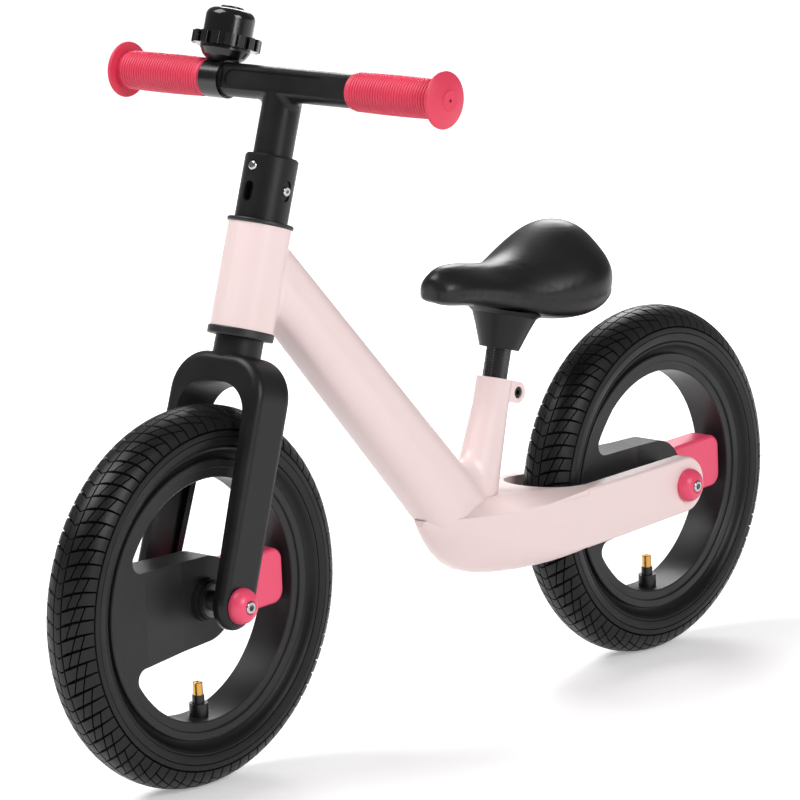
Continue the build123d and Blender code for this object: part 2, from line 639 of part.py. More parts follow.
def bell_base():
    """A shallow bowl that stands on the band and carries the stud."""
    seat = BAR_RADIUS + BELL_BAND_WALL - 3
    edge = BELL_BASE_RADIUS
    floor = BELL_FLOOR + 1
    body = turned([(0, seat), (edge - 9, seat), (edge - 3, BELL_FLOOR - 1), (edge, BELL_RIM - 2),
                   (edge, BELL_RIM), (edge - 2, BELL_RIM), (edge - 5, floor), (0, floor)])
    barrel = Rot(90, 0, 0) * Cylinder(BAR_RADIUS + BELL_BAND_WALL, 80)
    body = body - barrel - rod(BELL_STUD_RADIUS, 0, BELL_RIM)
    return one(BELL * body)


def bell_stud():
    body = rod(BELL_STUD_RADIUS, BAR_RADIUS + BELL_BAND_WALL + 0.2, BELL_TOP - 3.0)
    return one(BELL * body)


def bell_ring():
    """The toothed twist ring, with a web inside that turns on the stud."""
    root = BELL_RING_RADIUS - 3.2
    inner = BELL_GONG_RADIUS + FREE
    body = ring(root, inner, BELL_RING_LOW, BELL_RING_HIGH)
    tooth_width = 6.4
    tooth = Pos(BELL_RING_RADIUS - 2.6, 0, (BELL_RING_LOW + BELL_RING_HIGH) / 2)
    tooth = tooth * Box(5.2, tooth_width, BELL_RING_HIGH - BELL_RING_LOW)
    tooth = fillet(tooth.edges().filter_by(Axis.Z).group_by(Axis.X)[-1], 1.0)
    for place in PolarLocations(0, BELL_RING_TEETH):
        body = body + place * tooth
    web = ring(inner + 1, BELL_STUD_RADIUS + RUN, BELL_RING_LOW, BELL_RING_LOW + 1.6)
    return one(BELL * (body + web))


def bell_strikers():
    low = BELL_RING_LOW + 1.6
    striker = Pos(14.0, 0, 0) * rod(2.0, low, low + 9)
    return group(BELL * striker, BELL * Rot(0, 0, 180) * striker)


def bell_gong():
    top = BELL_TOP - 2.4
    body = rod(BELL_GONG_RADIUS, GONG_LOW, top)
    body = fillet(body.edges().group_by(Axis.Z)[-1], 7.0)
    cavity = rod(BELL_GONG_RADIUS - GONG_WALL, GONG_LOW, top - GONG_WALL)
    cavity = fillet(cavity.edges().group_by(Axis.Z)[-1], 6.0)
    return one(BELL * (body - cavity - rod(BELL_STUD_RADIUS, 0, top)))


def bell_cap():
    low = BELL_TOP - 2.4
    body = rod(9.2, low, BELL_TOP)
    body = fillet(body.edges().group_by(Axis.Z)[-1], 1.2)
    return one(BELL * (body - rod(BELL_STUD_RADIUS, 0, BELL_TOP - 3.0)))


# %% Frame


def oval(depth, width, at, direction):
    """A rounded section of the down tube, square to its run."""
    place = Plane(origin=at, x_dir=(0, 1, 0), z_dir=direction)
    power = 2 / DOWN_SQUARENESS
    count = 12
    points = []
    for step in range(count):
        angle = 2 * math.pi * step / count
        across = math.copysign(abs(math.cos(angle)) ** power, math.cos(angle))
        rise = math.copysign(abs(math.sin(angle)) ** power, math.sin(angle))
        points.append((width / 2 * across, depth / 2 * rise))
    return place * make_face(Spline(*points, periodic=True))


def down_tube():
    """The down tube's outside and its hollow."""
    top = FRONT_AXLE + HEAD_UP * DOWN_TOP_AT
    low = Vector(DOWN_FOOT_X, 0, DOWN_FOOT_Z)
    run = (low - top).normalized()
    end = low + run * DOWN_OVERRUN
    outer = loft([oval(DOWN_TOP_DEPTH, DOWN_TOP_WIDTH, top, run),
                  oval(DOWN_FOOT_DEPTH, DOWN_FOOT_WIDTH, end, run)], ruled=True)
    cut = 2 * DOWN_WALL
    hollow = loft([oval(DOWN_TOP_DEPTH - cut, DOWN_TOP_WIDTH - cut, top, run),
                   oval(DOWN_FOOT_DEPTH - cut, DOWN_FOOT_WIDTH - cut, low, run)], ruled=True)
    return outer, hollow


# The yoke's rounded front, from the nose back: x, half width, keel height, and the share of the half width
# and of the height that each lower corner takes
NOSE_STATIONS = [
    (14.0, 5.0, 158.0, 0.97, 0.97),
    (0.0, 15.0, 140.0, 0.97, 0.97),
    (-20.0, 26.5, 121.5, 0.94, 0.94),
    (-45.0, 37.0, 111.0, 0.84, 0.80),
    (-75.0, 44.0, 109.5, 0.60, 0.54),
]
WAIST_STATIONS = [
    NOSE_STATIONS[-1],
    (-110.0, STAY_OUTER - 0.3, 112.5, 0.30, 0.27),
    (HULL_END, STAY_OUTER, STAY_LOW, 0.08, 0.08),
]
# The deck over the front of the slot: x, half width, height at its edge and at its top, half width of the top
DECK_STATIONS = [
    (HULL_END - 10.0, STAY_OUTER - 0.4, STAY_TOP, STAY_TOP + 0.4, 36.0),
    (HULL_END, STAY_OUTER - 0.4, STAY_TOP - 0.6, STAY_TOP + 1.0, 35.0),
    (-96.0, STAY_OUTER - 0.4, 164.5, 173.5, 27.0),
    (-62.0, 42.0, 164.0, 175.0, 22.0),
    (-32.0, 31.0, 164.0, 173.0, 17.0),
    (-2.0, 14.0, 163.7, 166.0, 8.0),
]


def hull_section(x, half, keel, share_across, share_up):
    """A section of the yoke's front: a level top over sides that turn into a keel through two corners."""
    corner_wide = half * share_across
    corner_tall = (HULL_TOP - keel) * share_up
    flat = half - corner_wide
    side = keel + corner_tall
    edges = [
        Line((-half, HULL_TOP), (half, HULL_TOP)),
        Line((half, HULL_TOP), (half, side)),
        EllipticalCenterArc((flat, side), corner_wide, corner_tall, start_angle=-90, arc_size=90),
        Line((flat, keel), (-flat, keel)),
        EllipticalCenterArc((-flat, side), corner_wide, corner_tall, start_angle=180, arc_size=90),
        Line((-half, side), (-half, HULL_TOP)),
    ]
    return Plane(origin=(x, 0, 0), x_dir=(0, 1, 0), z_dir=(1, 0, 0)) * make_face(edges)


def deck_section(x, wide, edge, top, top_half):
    """A section of the deck: it slopes down from its top to both sides."""
    low = HULL_TOP - 10.0
    outline = Polyline((wide, low), (wide, edge), (top_half, top), (-top_half, top), (-wide, edge),
                       (-wide, low), close=True)
    return Plane(origin=(x, 0, 0), x_dir=(0, 1, 0), z_dir=(1, 0, 0)) * make_face(outline)


def yoke():
    """The yoke: a rounded front, two flat stays, a sloped deck and a slot for the tyre."""
    end_x = REAR_AXLE.X
    end_z = REAR_AXLE.Z
    radius = STAY_END_RADIUS
    top_rear = (end_x, end_z + radius)
    low_rear = (end_x, end_z - radius)
    side = make_face([
        Polyline(top_rear, (HULL_END, STAY_TOP), (HULL_END, STAY_LOW), (STAY_BEND_X, STAY_BEND_Z),
                 low_rear),
        ThreePointArc(low_rear, (end_x - radius, end_z), top_rear),
    ])
    stays = extrude(side, STAY_OUTER, both=True)
    outer_edges = stays.edges().group_by(Axis.Z)[-1] + stays.edges().group_by(Axis.Z)[0]
    stays = SIDE * fillet(outer_edges.filter_by(lambda edge: edge.center().X < HULL_END - 1), STAY_EDGE)
    nose = loft([hull_section(*station) for station in NOSE_STATIONS])
    waist = loft([hull_section(*station) for station in WAIST_STATIONS])
    deck = loft([deck_section(*station) for station in DECK_STATIONS], ruled=True)
    body = stays + waist + nose + deck

    slot_half = STAY_OUTER - STAY_THICK
    slot_centre = SLOT_FRONT - slot_half
    slot_length = slot_centre - end_x + 2 * radius
    slot = Pos(slot_centre - slot_length / 2, 0) * Rectangle(slot_length, 2 * slot_half)
    slot = slot + Pos(slot_centre, 0) * Circle(slot_half)
    return body - extrude(slot, 2 * HULL_TOP)


def seat_tube():
    """The seat tube, which spreads into the yoke and the down tube below it."""
    narrow = SEAT * Pos(0, 0, -FLARE_START) * Circle(SEAT_TUBE_RADIUS)
    spread = Pos(FLARE_X, 0, HULL_TOP - FLARE_DEPTH) * Ellipse(FLARE_HALF_LENGTH, FLARE_HALF_WIDTH)
    return SEAT * rod(SEAT_TUBE_RADIUS, -FLARE_START - 5.0, 0) + loft([narrow, spread])


def seat_lug():
    """The clamp's lug behind the top of the seat tube."""
    lug = Pos(-LUG_BACK, 0, -LUG_DROP) * Rot(90, 0, 0) * Cylinder(LUG_RADIUS, 2 * LUG_HALF)
    bridge = Pos(-LUG_BACK / 2, 0, -LUG_DROP) * Box(LUG_BACK, 2 * LUG_HALF, 2 * LUG_RADIUS)
    return SEAT * (lug + bridge)


def seat_cuts():
    """The seat tube's bore, the clamp's split and the clamp bolt's holes."""
    bore = rod(POST_RADIUS + RUN, -SEAT_BORE_DEPTH, 5)
    split_low = -LUG_DROP - LUG_RADIUS - 8
    split = Pos(-LUG_BACK / 2 - 5, 0, split_low / 2 + 2) * Box(LUG_BACK + 10, 2.4, -split_low + 4)
    across = Pos(-LUG_BACK, 0, -LUG_DROP) * Rot(-90, 0, 0)
    bolt = across * rod(BOLT_RADIUS, -LUG_HALF - 1, LUG_HALF + 1)
    head = across * rod(BOLT_HEAD_RADIUS, LUG_HALF - 4, LUG_HALF + 1)
    nut = across * extrude(RegularPolygon(5.0, 6), 4 + 1)
    nut = Pos(0, -LUG_HALF - 1, 0) * nut
    return SEAT * (bore + split + bolt + head + nut)


def frame():
    tube, hollow = down_tube()
    head = STEER * rod(HEAD_RADIUS, HEAD_BOTTOM, HEAD_TOP)
    body = blended(one(tube), one(seat_tube()), CROTCH_RADIUS, HULL_TOP + 3.0)
    body = blended(body, one(head), HEAD_BLEND, HULL_TOP)
    body = body + seat_lug() + yoke()
    body = body - hollow
    body = body - STEER * rod(HEAD_RADIUS - HEAD_WALL, HEAD_BOTTOM, HEAD_TOP) - seat_cuts()
    hole = Plane(origin=REAR_AXLE, x_dir=(1, 0, 0), z_dir=LEFT) * Cylinder(BOLT_RADIUS, 3 * STAY_OUTER)
    return body - hole


def seat_clamp_bolt():
    bolt = socket_bolt(BOLT_HEAD_RADIUS, 3.2, BOLT_RADIUS, 2 * LUG_HALF - 4 - 0.6, 4.0)
    return one(SEAT * Pos(-LUG_BACK, LUG_HALF - 4, -LUG_DROP) * Rot(-90, 0, 0) * bolt)


def seat_clamp_nut():
    nut = extrude(RegularPolygon(5.0, 6), 4)
    nut = Rot(-90, 0, 0) * (nut - Cylinder(BOLT_RADIUS, 20))
    return one(SEAT * Pos(-LUG_BACK, -LUG_HALF, -LUG_DROP) * nut)


# %% Seat


def seat_post():
    body = ring(POST_RADIUS, POST_RADIUS - POST_WALL, -POST_INSERT, NECK_AT + NECK_HEIGHT - 5)
    return one(SEAT * body)


# The saddle's stations from nose to tail: x, half width, underside and crest heights
SADDLE_STATIONS = [
    (-1.0, 6.0, 346.0, 357.0),
    (-4.0, 13.0, 341.5, 363.0),
    (-12.0, 19.0, 338.5, 368.0),
    (-30.0, 23.5, 336.0, 370.5),
    (-62.0, 28.5, 330.5, 366.5),
    (-85.0, 35.0, 324.0, 366.5),
    (-110.0, 46.0, 316.5, 373.0),
    (-136.0, 56.0, 312.0, 385.0),
    (-160.0, 58.5, 312.0, 391.5),
    (-178.0, 51.0, 317.0, 386.5),
    (-190.0, 36.5, 326.0, 373.0),
    (-195.5, 18.0, 336.0, 358.0),
]


def saddle_section(x, half, low, high):
    """One cross-section of the saddle: a full crown, a soft ridge round its edge, a steep skirt below."""
    tall = high - low
    skirt = [(0.0, 0.0), (0.62, 0.03), (0.91, 0.16), (1.0, 0.44)]
    crown = [(0.95, 0.55), (0.66, 0.79), (0.34, 0.95), (0.0, 1.0)]
    outline = skirt + crown
    points = [(half * across, low + tall * up) for across, up in outline]
    mirrored = [(-across, height) for across, height in reversed(points[1:-1])]
    place = Plane(origin=(x, 0, 0), x_dir=(0, 1, 0), z_dir=(1, 0, 0))
    return place * make_face(Spline(*points, *mirrored, periodic=True))


def saddle_base():
    """The moulded plate under the saddle, with the neck that takes the post."""
    top = NECK_AT + NECK_HEIGHT
    flare_at = top - NECK_FLARE_HEIGHT
    between = ((NECK_TOP_RADIUS + NECK_FLARE_RADIUS) / 2, top - NECK_FLARE_HEIGHT / 4)
    neck = turned([(0, NECK_AT), (NECK_FOOT_RADIUS, NECK_AT), (NECK_TOP_RADIUS, flare_at), between,
                   (NECK_FLARE_RADIUS, top), (0, top)])
    # The plate lies level inside the pad, and the neck runs up into it
    plate = Pos(PLATE_X, 0, PLATE_Z) * extrude(SlotOverall(PLATE_LENGTH, PLATE_WIDTH), PLATE_THICK)
    return SEAT * neck, plate


def seat_parts():
    neck, plate = saddle_base()
    pad = loft([saddle_section(*station) for station in SADDLE_STATIONS])
    post_socket = rod(POST_RADIUS, 0, NECK_AT + NECK_HEIGHT - 5)
    base = neck + plate - SEAT * post_socket
    screw_hole = rod(POST_SCREW_RADIUS, POST_RADIUS - POST_WALL, NECK_TOP_RADIUS)
    base = base - SEAT * Pos(0, 0, NECK_AT + POST_SCREW_AT) * Rot(0, -90, 0) * screw_hole
    pad = pad - neck - plate
    return one(pad), one(base)


def post_screw():
    widening = (NECK_TOP_RADIUS - NECK_FOOT_RADIUS) * POST_SCREW_AT / NECK_HEIGHT
    body = rod(POST_SCREW_RADIUS, POST_RADIUS, NECK_FOOT_RADIUS + widening - 1.0)
    return one(SEAT * Pos(0, 0, NECK_AT + POST_SCREW_AT) * Rot(0, -90, 0) * body)


# %% Build and write every piece

os.makedirs("parts", exist_ok=True)


def write(name, shape):
    export_step(shape, f"parts/{name}.step")


write("frame", one(frame()))
upper = HEAD_TOP
lower = HEAD_BOTTOM
write("headset_upper_cup", headset_cup(upper - CUP_DEPTH, upper, upper, upper + UPPER_CUP_HEIGHT))
write("headset_lower_cup", headset_cup(lower, lower + CUP_DEPTH, lower - LOWER_CUP_HEIGHT, lower))
write("seat_clamp_bolt", seat_clamp_bolt())
write("seat_clamp_nut", seat_clamp_nut())

write("fork", fork())
write("fork_collar", collar())
write("collar_bolt", collar_bolt())

write("handlebar", handlebar())
one_grip = grip()
write("left_grip", BAR_AXIS * one_grip)
write("right_grip", BAR_AXIS_RIGHT * one_grip)
write("snap_button", snap_button())
write("snap_spring", snap_spring())

write("bell_band", bell_band())
write("bell_band_screw", bell_band_screw())
write("bell_base", bell_base())
write("bell_stud", bell_stud())
write("bell_ring", bell_ring())
write("bell_strikers", bell_strikers())
write("bell_gong", bell_gong())
write("bell_cap", bell_cap())

pad, base = seat_parts()
write("saddle", pad)
write("saddle_base", base)
write("seat_post", seat_post())
write("saddle_post_screw", post_screw())

casting = wheel_casting()
block = accent_block()
tyre, tube = tyre_and_tube()
stem = valve_stem()
tip = valve_tip()
bearings = [bearing(HUB_HALF - BEARING_WIDTH), bearing(-HUB_HALF)]
ends = [
    ("front", FRONT_AXLE, FORK_CAP_SEAT, FORK_BOSS_FACE),
    ("rear", REAR_AXLE, STAY_OUTER, STAY_OUTER - STAY_THICK),
]
for end, axle, outer, inner in ends:
    place = wheel_frame(axle)
    write(f"{end}_wheel", place * casting)
    write(f"{end}_accent_block", place * block)
    write(f"{end}_tyre", place * tyre)
    write(f"{end}_inner_tube", place * tube)
    write(f"{end}_valve_stem", place * stem)
    write(f"{end}_valve_tip", place * tip)
    write(f"{end}_wheel_bearings", group(*[place * body for body in bearings]))
    shaft, spacers, caps, bolts = axle_set(axle, outer, inner)
    write(f"{end}_axle", shaft)
    write(f"{end}_axle_spacers", spacers)
    write(f"{end}_axle_caps", caps)
    write(f"{end}_axle_bolts", bolts)
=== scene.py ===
# %% [markdown]
# A child's balance bike, dressed for a studio picture.
# The solid parts come in as a fixed frame, in metres: +X is forward, +Y is the rider's left and +Z is up.
# This lesson sets up the camera and the light, gives every part its finish, and models the pieces that need
# a finer skin than a solid has: the tyres with their tread, the knurled seat post and the foam saddle.

# %% Load the frame
import json
import math

import bmesh
import bpy
from mathutils import Matrix, Vector


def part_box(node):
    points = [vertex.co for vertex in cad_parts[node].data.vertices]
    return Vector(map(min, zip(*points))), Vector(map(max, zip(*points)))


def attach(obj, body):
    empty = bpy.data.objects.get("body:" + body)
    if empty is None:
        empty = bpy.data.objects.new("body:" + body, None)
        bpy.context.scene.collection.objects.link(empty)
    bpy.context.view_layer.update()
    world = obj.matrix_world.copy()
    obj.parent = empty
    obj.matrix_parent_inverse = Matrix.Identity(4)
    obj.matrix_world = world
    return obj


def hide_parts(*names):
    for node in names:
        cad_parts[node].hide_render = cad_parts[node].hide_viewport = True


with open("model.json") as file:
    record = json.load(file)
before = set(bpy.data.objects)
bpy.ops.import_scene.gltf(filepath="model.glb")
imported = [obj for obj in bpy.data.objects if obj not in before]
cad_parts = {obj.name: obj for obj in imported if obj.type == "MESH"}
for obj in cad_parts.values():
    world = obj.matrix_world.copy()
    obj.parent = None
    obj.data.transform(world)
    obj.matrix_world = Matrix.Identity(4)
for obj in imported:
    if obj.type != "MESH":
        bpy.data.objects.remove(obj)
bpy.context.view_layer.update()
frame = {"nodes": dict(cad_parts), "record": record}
nodes = frame["nodes"]
print("frame loaded:", len(nodes), "solid parts")

# %% [markdown]
# The camera stands in front of the bike, to its left, a little above it, and far away behind a long lens.
# A long lens keeps the two wheels nearly the same size, as a catalogue picture does.
# The camera is turned by three angles rather than aimed at a point, because the picture is also rolled
# a little.

# %% Camera
CAMERA_PLACE = Vector((2.98914, 2.54723, 1.01471))
CAMERA_TURN = math.radians(130.78)
CAMERA_DIP = math.radians(10.853)
CAMERA_ROLL = math.radians(-0.67)
SENSOR_WIDTH = 36.0
FOCAL_IN_PICTURE_WIDTHS = 4929.37 / 800

camera_data = bpy.data.cameras.new("studio_camera")
camera_data.sensor_width = SENSOR_WIDTH
camera_data.lens = SENSOR_WIDTH * FOCAL_IN_PICTURE_WIDTHS
camera_data.clip_end = 100.0
camera = bpy.data.objects.new("studio_camera", camera_data)
turn = Matrix.Rotation(CAMERA_TURN, 4, "Z")
tilt = Matrix.Rotation(math.pi / 2 - CAMERA_DIP, 4, "X")
roll = Matrix.Rotation(CAMERA_ROLL, 4, "Z")
camera.matrix_world = Matrix.Translation(CAMERA_PLACE) @ turn @ tilt @ roll
bpy.context.scene.collection.objects.link(camera)
bpy.context.scene.camera = camera
bpy.context.scene.view_settings.view_transform = "Standard"
print("camera lens:", round(camera_data.lens, 1), "mm")

# %% [markdown]
# A product picture is lit by large soft boxes over a white sweep. Here the world gives the even fill light,
# one large lamp high on the picture's left gives form and a shadow to the right, a second lamp behind draws
# a thin light edge along the dark parts, and a third beside the bike lights the faces that look right.
# The floor glows a little for the camera. Its glow grows with distance: near the bike the lamps have to
# light the floor, or no shadow would show on it, and far away they don't reach it.


# %% Small helpers for materials
def new_material(name):
    """An empty node material and its shader."""
    material = bpy.data.materials.new(name)
    material.use_nodes = True
    shader = material.node_tree.nodes["Principled BSDF"]
    return material, material.node_tree, shader


def add_node(tree, kind, **values):
    """A node with some of its inputs set by name."""
    node = tree.nodes.new(kind)
    for name, value in values.items():
        node.inputs[name.replace("_", " ")].default_value = value
    return node


def rgba(red, green, blue):
    return (red, green, blue, 1.0)


# %% Floor and light
FLOOR_WHITE = 0.92
NEAR_GLOW = 0.30
FAR_GLOW = 0.85
NEAR_REACH = 0.6
FAR_REACH = 2.4


def floor_material():
    """White for the camera: lit near the bike, so that its shadow shows, and glowing further away."""
    material = bpy.data.materials.new("white_sweep")
    material.use_nodes = True
    tree = material.node_tree
    tree.nodes.clear()
    output = tree.nodes.new("ShaderNodeOutputMaterial")
    lit = add_node(tree, "ShaderNodeBsdfDiffuse", Color=rgba(FLOOR_WHITE, FLOOR_WHITE, FLOOR_WHITE))
    glow = add_node(tree, "ShaderNodeEmission", Color=rgba(1, 1, 1))
    place = tree.nodes.new("ShaderNodeTexCoord")
    reach = tree.nodes.new("ShaderNodeVectorMath")
    reach.operation = "LENGTH"
    tree.links.new(place.outputs["Object"], reach.inputs[0])
    strength = tree.nodes.new("ShaderNodeMapRange")
    strength.interpolation_type = "SMOOTHSTEP"
    strength.inputs["From Min"].default_value = NEAR_REACH
    strength.inputs["From Max"].default_value = FAR_REACH
    strength.inputs["To Min"].default_value = NEAR_GLOW
    strength.inputs["To Max"].default_value = FAR_GLOW
    tree.links.new(reach.outputs["Value"], strength.inputs["Value"])
    tree.links.new(strength.outputs["Result"], glow.inputs["Strength"])
    shown = tree.nodes.new("ShaderNodeAddShader")
    tree.links.new(lit.outputs[0], shown.inputs[0])
    tree.links.new(glow.outputs[0], shown.inputs[1])
    path = tree.nodes.new("ShaderNodeLightPath")
    seen = tree.nodes.new("ShaderNodeMath")
    seen.operation = "MAXIMUM"
    tree.links.new(path.outputs["Is Camera Ray"], seen.inputs[0])
    mirrored = tree.nodes.new("ShaderNodeMath")
    mirrored.operation = "MAXIMUM"
    tree.links.new(path.outputs["Is Glossy Ray"], mirrored.inputs[0])
    tree.links.new(path.outputs["Is Transmission Ray"], mirrored.inputs[1])
    tree.links.new(mirrored.outputs[0], seen.inputs[1])
    choice = tree.nodes.new("ShaderNodeMixShader")
    tree.links.new(seen.outputs[0], choice.inputs["Fac"])
    tree.links.new(lit.outputs[0], choice.inputs[1])
    tree.links.new(shown.outputs[0], choice.inputs[2])
    tree.links.new(choice.outputs[0], output.inputs["Surface"])
    return material


FLOOR_REACH = 30.0
floor_mesh = bpy.data.meshes.new("floor")
floor_build = bmesh.new()
bmesh.ops.create_grid(floor_build, x_segments=1, y_segments=1, size=FLOOR_REACH)
floor_build.to_mesh(floor_mesh)
floor_build.free()
floor = bpy.data.objects.new("floor", floor_mesh)
floor_mesh.materials.append(floor_material())
bpy.context.scene.collection.objects.link(floor)

FILL_LIGHT = 0.25
world = bpy.data.worlds.new("studio")
world.use_nodes = True
bpy.context.scene.world = world
fill = world.node_tree.nodes["Background"]
fill.inputs["Color"].default_value = rgba(1.0, 1.0, 1.0)
fill.inputs["Strength"].default_value = FILL_LIGHT


def soft_box(name, place, target, size, power):
    """A square area lamp at a place, turned towards a target."""
    data = bpy.data.lights.new(name, "AREA")
    data.size = size
    data.energy = power
    lamp = bpy.data.objects.new(name, data)
    lamp.location = place
    lamp.rotation_euler = (Vector(target) - Vector(place)).to_track_quat("-Z", "Y").to_euler()
    bpy.context.scene.collection.objects.link(lamp)


BIKE_MIDDLE = (0.0, 0.0, 0.3)
soft_box("key_box", (1.3, -1.1, 2.9), BIKE_MIDDLE, 1.9, 84.0)
soft_box("back_box", (-2.2, -1.6, 1.9), BIKE_MIDDLE, 1.2, 38.0)
soft_box("side_box", (0.6, 2.8, 1.7), BIKE_MIDDLE, 1.3, 50.0)
print("floor, world and three lamps made")

# %% [markdown]
# Every finish below starts from one shader and adds what the real surface shows at its own scale:
# a fine grain in the coat, a faint change of colour over the part, and a roughness that is never even.
# The patterns read Object coordinates, so they stay on the part when it moves.


# %% One function for moulded and coated surfaces
BROAD_SCALE = 18.0
NOISE_LOW = 0.3
NOISE_HIGH = 0.7
GRAIN_RISE = 0.35


def grained(name, color, roughness, grain_size, grain_height, mottle=0.06, spread=0.08, **sockets):
    """A surface with fine grain, a faint mottle in its colour and an uneven roughness."""
    material, tree, shader = new_material(name)
    place = tree.nodes.new("ShaderNodeTexCoord")
    fine = add_node(tree, "ShaderNodeTexNoise", Scale=1.0 / grain_size, Detail=2.0, Roughness=0.5)
    broad = add_node(tree, "ShaderNodeTexNoise", Scale=BROAD_SCALE, Detail=3.0, Roughness=0.55)
    for noise in (fine, broad):
        tree.links.new(place.outputs["Object"], noise.inputs["Vector"])

    tint = tree.nodes.new("ShaderNodeValToRGB")
    low, high = tint.color_ramp.elements
    low.position = NOISE_LOW
    high.position = NOISE_HIGH
    low.color = rgba(*[channel * (1 - mottle) for channel in color])
    high.color = rgba(*[min(1.0, channel * (1 + mottle)) for channel in color])
    tree.links.new(broad.outputs["Fac"], tint.inputs["Fac"])
    tree.links.new(tint.outputs["Color"], shader.inputs["Base Color"])

    dull = add_node(tree, "ShaderNodeMapRange")
    dull.inputs["From Min"].default_value = NOISE_LOW
    dull.inputs["From Max"].default_value = NOISE_HIGH
    dull.inputs["To Min"].default_value = roughness - spread
    dull.inputs["To Max"].default_value = roughness + spread
    tree.links.new(broad.outputs["Fac"], dull.inputs["Value"])
    tree.links.new(dull.outputs["Result"], shader.inputs["Roughness"])

    bump = add_node(tree, "ShaderNodeBump", Strength=grain_height, Distance=grain_size * GRAIN_RISE)
    tree.links.new(fine.outputs["Fac"], bump.inputs["Height"])
    tree.links.new(bump.outputs["Normal"], shader.inputs["Normal"])
    for socket, value in sockets.items():
        shader.inputs[socket.replace("_", " ")].default_value = value
    return material


def shade_painted_in_grooves(material, share):
    """Darken a finish where a mesh carries the attribute groove: painted shade in a deep tread."""
    tree = material.node_tree
    shader = tree.nodes["Principled BSDF"]
    plain = shader.inputs["Base Color"].links[0].from_socket
    groove = tree.nodes.new("ShaderNodeAttribute")
    groove.attribute_name = "groove"
    shade = tree.nodes.new("ShaderNodeMix")
    shade.data_type = "RGBA"
    shade.blend_type = "MULTIPLY"
    shade.inputs["B"].default_value = rgba(share, share, share)
    tree.links.new(groove.outputs["Fac"], shade.inputs["Factor"])
    tree.links.new(plain, shade.inputs["A"])
    tree.links.new(shade.outputs["Result"], shader.inputs["Base Color"])


# %% The finishes of the solid parts
MATT = 0.26
PAINTED_GROOVE_SHADE = 0.3
finish = {
    "frame_paint": grained("pink_satin_coat", (0.86, 0.69, 0.68), 0.36, 0.0006, 0.10, mottle=0.012,
                           spread=0.05),
    "fork_coat": grained("black_powder_coat", (0.0085, 0.0085, 0.0092), 0.36, 0.0005, 0.40, mottle=0.15,
                         Specular_IOR_Level=MATT),
    "bush_plastic": grained("black_nylon", (0.008, 0.008, 0.009), 0.45, 0.0006, 0.15, mottle=0.1),
    "wheel_plastic": grained("moulded_wheel", (0.016, 0.016, 0.0175), 0.38, 0.0007, 0.22, mottle=0.10,
                             Specular_IOR_Level=MATT),
    "accent_plastic": grained("raspberry_moulding", (0.86, 0.072, 0.160), 0.38, 0.0008, 0.10, mottle=0.03),
    "grip_rubber": grained("raspberry_rubber", (0.72, 0.042, 0.095), 0.5, 0.0005, 0.15, mottle=0.04),
    "tyre_rubber": grained("tyre_rubber", (0.0065, 0.0065, 0.007), 0.42, 0.0007, 0.30, mottle=0.2,
                           spread=0.1, Specular_IOR_Level=MATT),
    "tube_rubber": grained("tube_rubber", (0.010, 0.010, 0.010), 0.6, 0.0008, 0.2),
    "valve_rubber": grained("valve_rubber", (0.006, 0.006, 0.006), 0.4, 0.0005, 0.15, mottle=0.1),
    "valve_brass": grained("turned_brass", (0.62, 0.34, 0.09), 0.28, 0.0004, 0.12, mottle=0.08,
                           Metallic=1.0),
    "steel": grained("ground_steel", (0.16, 0.16, 0.17), 0.38, 0.0004, 0.12, Metallic=1.0),
    "bright_steel": grained("plated_steel", (0.46, 0.46, 0.48), 0.18, 0.0005, 0.05, spread=0.04,
                            Metallic=1.0),
    "black_steel": grained("blackened_steel", (0.030, 0.030, 0.032), 0.32, 0.0005, 0.12, Metallic=1.0),
    "bell_plastic": grained("gloss_bell_plastic", (0.004, 0.004, 0.0045), 0.22, 0.0009, 0.04, mottle=0.1,
                            spread=0.05),
    "bell_metal": grained("bell_lacquer", (0.004, 0.004, 0.0045), 0.16, 0.0009, 0.03, mottle=0.1,
                          spread=0.04),
    "post_steel": grained("post_coat", (0.010, 0.010, 0.011), 0.16, 0.0005, 0.06, mottle=0.12,
                          Specular_IOR_Level=1.0),
    "saddle_foam": grained("foam_skin", (0.0055, 0.0055, 0.006), 0.36, 0.0009, 0.24, mottle=0.12,
                           spread=0.05, Specular_IOR_Level=0.36),
    "saddle_plastic": grained("saddle_moulding", (0.006, 0.006, 0.0065), 0.38, 0.0007, 0.2, mottle=0.12,
                              Specular_IOR_Level=MATT),
}
# Painted shade: the tyre's base colour is darkened in its grooves, by the depth that each vertex carries.
shade_painted_in_grooves(finish["tyre_rubber"], PAINTED_GROOVE_SHADE)
slot_of = {entry["node"]: entry["material_slot"] for entry in frame["record"]["subparts"]}
for name, part in nodes.items():
    part.data.materials.clear()
    part.data.materials.append(finish[slot_of[name]])
print("finishes:", len(finish))

# %% [markdown]
# A tyre is a ring of rubber whose tread is pressed into it in the mould. A bump map would leave its outline
# smooth, so the tread here is real: the tyre's section is spun round the axle, and the vertices that lie on
# a groove are then pushed in. The section's rows are close together under the tread. On the sidewall they
# only stand where a fine ring runs round it, and near the bead the wall turns in and leaves a dark valley
# beside the rim.

# %% The ring that both tyres start from
AXLE_HEIGHT = 0.150
HALF_WHEELBASE = 0.2835
SECTION_RADIUS = 0.128
SECTION_HALF_WIDTH = 0.024
CROWN_HEIGHT = 0.022
SIDEWALL_DEPTH = 0.0243
WALL = 0.004
ROW_STEP = math.radians(2.25)
TREAD_ROWS = 34
# Each sidewall row's angle from the crown, in degrees, and how far it stands out, in metres
SIDEWALL = [(79.0, 0.0), (84.0, 0.0), (89.0, 0.0), (90.4, -0.0006), (91.8, 0.0), (98.0, 0.0), (104.5, 0.0),
            (106.4, 0.0), (107.4, -0.0006), (108.6, 0.0002), (110.5, 0.0007), (113.5, 0.0006)]
